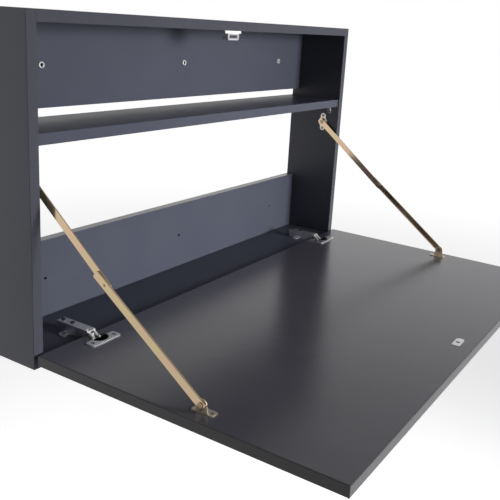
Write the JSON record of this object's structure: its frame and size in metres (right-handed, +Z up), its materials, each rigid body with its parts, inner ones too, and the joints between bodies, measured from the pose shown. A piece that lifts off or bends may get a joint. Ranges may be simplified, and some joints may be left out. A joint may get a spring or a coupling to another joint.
{
  "type": "fold down wall desk",
  "caption": "Shallow wall cabinet in dark graphite board whose front drops open on concealed hinges and folding stays to make a level writing leaf, with a shelf and an open back.",
  "frame": {"origin": "middle of the six wall holes, on the wall plane behind the two rails", "axes": "+X along the desk to the right as one faces it, +Y into the wall, +Z up"},
  "size_m": [1, 0.6923, 0.55],
  "materials": {
    "graphite_board": "satin melamine",
    "graphite_edge": "satin",
    "beech_dowel": "raw",
    "nickel_steel": "nickel plated",
    "yellow_zinc": "yellow zinc plated",
    "screw_steel": "zinc plated",
    "grey_plastic": "moulded",
    "magnet": "sintered",
    "plated_steel": "zinc plated"
  },
  "bodies": {
    "cabinet": {"left_side_panel": "graphite_board", "right_side_panel": "graphite_board", "top_panel": "graphite_board", "bottom_panel": "graphite_board", "upper_wall_rail": "graphite_board", "lower_wall_rail": "graphite_board", "shelf": "graphite_board", "cabinet_edge_bands": "graphite_edge", "rail_edge_bands": "graphite_edge", "shelf_edge_band": "graphite_edge", "carcass_dowels": "beech_dowel", "wall_cup_washers": "nickel_steel", "shelf_supports": "grey_plastic", "left_hinge_plate": "nickel_steel", "right_hinge_plate": "nickel_steel", "left_hinge_arm": "nickel_steel", "right_hinge_arm": "nickel_steel", "hinge_plate_screws": "screw_steel", "hinge_arm_screws": "screw_steel", "hinge_arm_pins": "nickel_steel", "left_stay_bracket": "yellow_zinc", "right_stay_bracket": "yellow_zinc", "left_stay_bracket_rivet": "yellow_zinc", "right_stay_bracket_rivet": "yellow_zinc", "stay_bracket_screws": "screw_steel", "catch_housing": "grey_plastic", "catch_magnet": "magnet", "catch_pole_plates": "plated_steel", "catch_screws": "screw_steel"},
    "drop_leaf": {"drop_leaf": "graphite_board", "leaf_edge_bands": "graphite_edge", "left_hinge_cup": "nickel_steel", "right_hinge_cup": "nickel_steel", "hinge_cup_screws": "screw_steel", "left_leaf_bracket": "yellow_zinc", "right_leaf_bracket": "yellow_zinc", "left_leaf_bracket_rivet": "yellow_zinc", "right_leaf_bracket_rivet": "yellow_zinc", "leaf_bracket_screws": "screw_steel", "strike_plate": "plated_steel", "strike_screw": "screw_steel"},
    "left_outer_link": {"left_outer_link": "nickel_steel", "left_outer_link_studs": "nickel_steel"},
    "left_inner_link": {"left_inner_link": "nickel_steel", "left_inner_link_pin": "nickel_steel"},
    "left_stay_upper_arm": {"left_stay_upper_arm": "yellow_zinc", "left_stay_upper_knuckle": "yellow_zinc"},
    "left_stay_lower_arm": {"left_stay_lower_arm": "yellow_zinc", "left_stay_lower_knuckle": "yellow_zinc"},
    "right_outer_link": {"right_outer_link": "nickel_steel", "right_outer_link_studs": "nickel_steel"},
    "right_inner_link": {"right_inner_link": "nickel_steel", "right_inner_link_pin": "nickel_steel"},
    "right_stay_upper_arm": {"right_stay_upper_arm": "yellow_zinc", "right_stay_upper_knuckle": "yellow_zinc"},
    "right_stay_lower_arm": {"right_stay_lower_arm": "yellow_zinc", "right_stay_lower_knuckle": "yellow_zinc"}
  },
  "joints": [
    {"name": "leaf_fold", "type": "hinge", "parent": "cabinet", "child": "drop_leaf", "pos_m": [0, -0.1566, -0.2622], "axis": [-1, 0, 0], "range_deg": [0, 90]},
    {"name": "left_outer_link_swing", "type": "hinge", "parent": "cabinet", "child": "left_outer_link", "pos_m": [-0.39, -0.149, -0.2425], "axis": [-1, 0, 0], "range_deg": [-69.66, 0]},
    {"name": "left_inner_link_swing", "type": "hinge", "parent": "cabinet", "child": "left_inner_link", "pos_m": [-0.39, -0.142, -0.2465], "axis": [-1, 0, 0], "range_deg": [-38.25, 0]},
    {"name": "left_upper_arm_swing", "type": "hinge", "parent": "cabinet", "child": "left_stay_upper_arm", "pos_m": [-0.476, -0.098, 0.037], "axis": [-1, 0, 0], "range_deg": [-52.44, 0]},
    {"name": "left_lower_arm_fold", "type": "hinge", "parent": "drop_leaf", "child": "left_stay_lower_arm", "pos_m": [-0.476, -0.4518, -0.235], "axis": [-1, 0, 0], "range_deg": [0, 25.55]},
    {"name": "right_outer_link_swing", "type": "hinge", "parent": "cabinet", "child": "right_outer_link", "pos_m": [0.39, -0.149, -0.2425], "axis": [-1, 0, 0], "range_deg": [-69.66, 0]},
    {"name": "right_inner_link_swing", "type": "hinge", "parent": "cabinet", "child": "right_inner_link", "pos_m": [0.39, -0.142, -0.2465], "axis": [-1, 0, 0], "range_deg": [-38.25, 0]},
    {"name": "right_upper_arm_swing", "type": "hinge", "parent": "cabinet", "child": "right_stay_upper_arm", "pos_m": [0.476, -0.098, 0.037], "axis": [-1, 0, 0], "range_deg": [-53.57, 0]},
    {"name": "right_lower_arm_fold", "type": "hinge", "parent": "drop_leaf", "child": "right_stay_lower_arm", "pos_m": [0.476, -0.4518, -0.235], "axis": [-1, 0, 0], "range_deg": [0, 26.68]}
  ],
  "couplings": [
    {"joint": "left_outer_link_swing", "follows": "leaf_fold", "ratio": -0.77388},
    {"joint": "left_inner_link_swing", "follows": "leaf_fold", "ratio": -0.42488},
    {"joint": "left_upper_arm_swing", "follows": "leaf_fold", "ratio": -0.58258},
    {"joint": "left_lower_arm_fold", "follows": "leaf_fold", "ratio": 0.28376},
    {"joint": "right_outer_link_swing", "follows": "leaf_fold", "ratio": -0.77388},
    {"joint": "right_inner_link_swing", "follows": "leaf_fold", "ratio": -0.42488},
    {"joint": "right_upper_arm_swing", "follows": "leaf_fold", "ratio": -0.59507},
    {"joint": "right_lower_arm_fold", "follows": "leaf_fold", "ratio": 0.29631}
  ]
}
